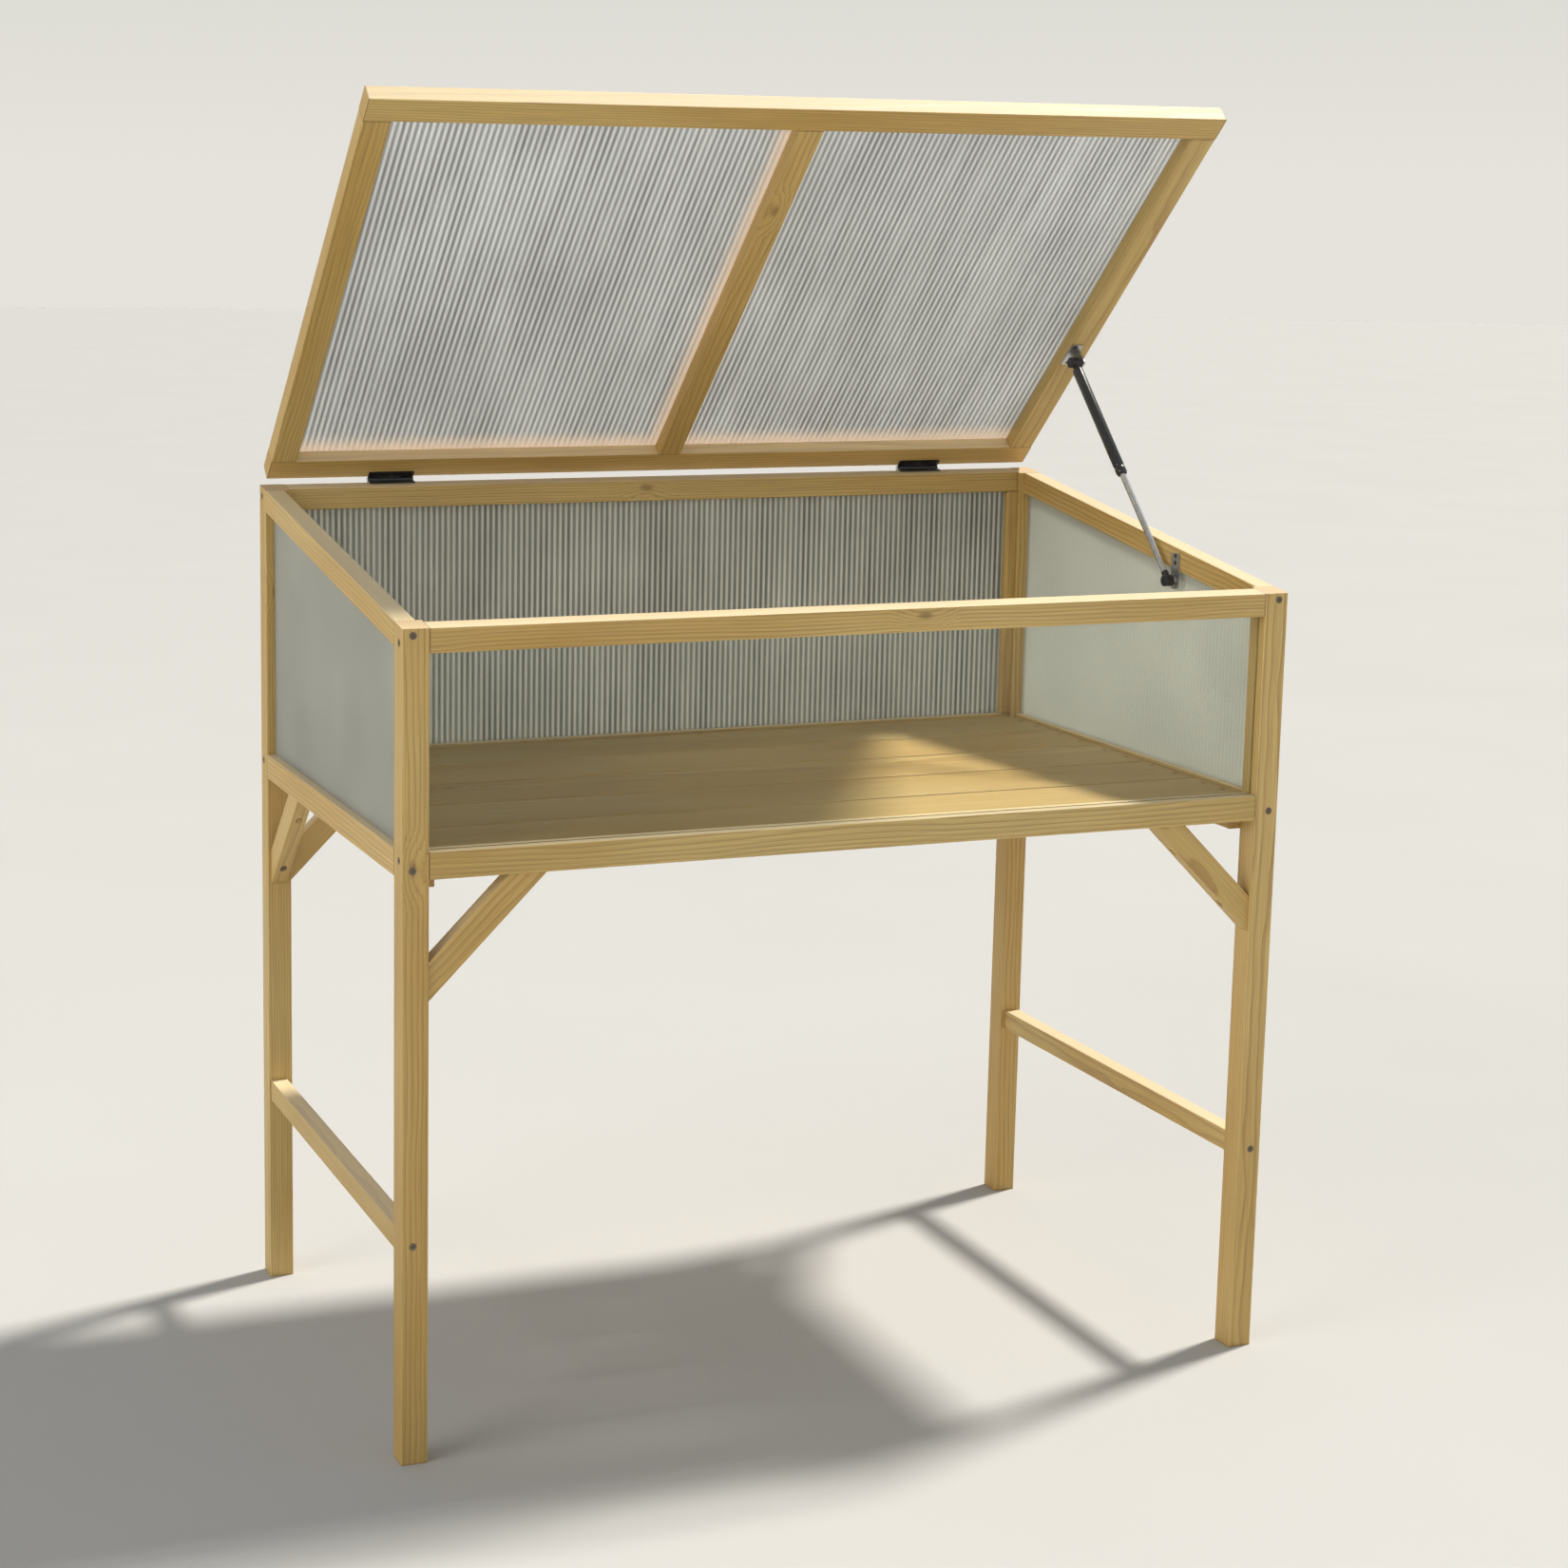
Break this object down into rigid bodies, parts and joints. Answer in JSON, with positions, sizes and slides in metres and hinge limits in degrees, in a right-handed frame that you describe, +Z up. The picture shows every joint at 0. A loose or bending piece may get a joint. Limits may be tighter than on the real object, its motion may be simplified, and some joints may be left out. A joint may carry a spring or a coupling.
{
  "type": "cold frame",
  "caption": "Raised wooden cold frame on tall legs with twin-wall glazing, a slatted floor and a glazed lid that lifts on butt hinges and rests on a gas strut",
  "frame": {"origin": "centre of the object's footprint box, on the ground under the posts", "axes": "+Z up, +X towards the right-hand side seen from the front, +Y towards the hinged back"},
  "size_m": [1, 0.5856, 1.3768],
  "materials": {
    "timber": "planed and oiled pine, pale honey colour",
    "floor_timber": "planed pine boards",
    "dowel_wood": "turned hardwood",
    "twin_wall": "translucent twin-wall sheet, slightly frosted",
    "clear_pane": "clear glazing sheet",
    "black_metal": "black powder coat",
    "chrome_rod": "ground and polished rod",
    "screw_steel": "dark passivated screws",
    "bracket_steel": "zinc plated plate",
    "black_plastic": "moulded black end fittings"
  },
  "bodies": {
    "frame": {"front_left_post": "timber", "back_left_post": "timber", "front_right_post": "timber", "back_right_post": "timber", "front_bottom_rail": "timber", "front_top_rail": "timber", "back_bottom_rail": "timber", "back_top_rail": "timber", "left_bottom_rail": "timber", "left_top_rail": "timber", "left_stretcher": "timber", "right_bottom_rail": "timber", "right_top_rail": "timber", "right_stretcher": "timber", "left_side_panel": "twin_wall", "right_side_panel": "twin_wall", "back_panel": "twin_wall", "front_pane": "clear_pane", "frame_screws": "screw_steel", "front_left_brace": "timber", "brace_screws": "screw_steel", "front_right_brace": "timber", "back_left_brace": "timber", "back_right_brace": "timber", "left_side_brace": "timber", "right_side_brace": "timber", "left_floor_ledger": "floor_timber", "floor_screws": "screw_steel", "right_floor_ledger": "floor_timber", "floor_board_1": "floor_timber", "floor_board_2": "floor_timber", "floor_board_3": "floor_timber", "floor_board_4": "floor_timber", "floor_board_5": "floor_timber", "left_hinge_frame_leaf": "black_metal", "frame_fitting_screws": "screw_steel", "right_hinge_frame_leaf": "black_metal", "hinge_pins": "chrome_rod", "strut_foot_bracket": "bracket_steel"},
    "lid": {"lid_left_panel": "twin_wall", "lid_right_panel": "twin_wall", "lid_back_rail": "timber", "lid_front_rail": "timber", "lid_left_stile": "timber", "lid_right_stile": "timber", "lid_muntin": "timber", "lid_dowels": "dowel_wood", "lid_panel_screws": "screw_steel", "lid_fitting_screws": "screw_steel", "left_hinge_lid_leaf": "black_metal", "right_hinge_lid_leaf": "black_metal", "strut_lid_bracket": "bracket_steel", "strut_upper_ball": "chrome_rod"},
    "strut_cylinder": {"strut_tube": "black_metal", "strut_rod_guide": "black_plastic", "strut_upper_socket": "black_plastic"},
    "strut_rod": {"strut_rod": "chrome_rod", "strut_piston": "black_plastic", "strut_lower_socket": "black_plastic", "strut_lower_ball": "chrome_rod"}
  },
  "joints": [
    {"name": "lid_hinge", "type": "hinge", "parent": "frame", "child": "lid", "pos_m": [0, 0.2806, 0.9473], "axis": [-1, 0, 0], "range_deg": [-53.29, 0]},
    {"name": "strut_swing", "type": "hinge", "parent": "lid", "child": "strut_cylinder", "pos_m": [0.468, 0.12127, 1.08465], "axis": [-1, 0, 0], "range_deg": [0, 82.97]},
    {"name": "strut_slide", "type": "slide", "parent": "strut_cylinder", "child": "strut_rod", "axis": [0, -0.6924, -0.7216], "range_m": [-0.13914, 0]}
  ],
  "couplings": [
    {"joint": "strut_swing", "follows": "lid_hinge", "ratio": -1.5568},
    {"joint": "strut_slide", "follows": "lid_hinge", "m_per_rad": 0.14958}
  ]
}
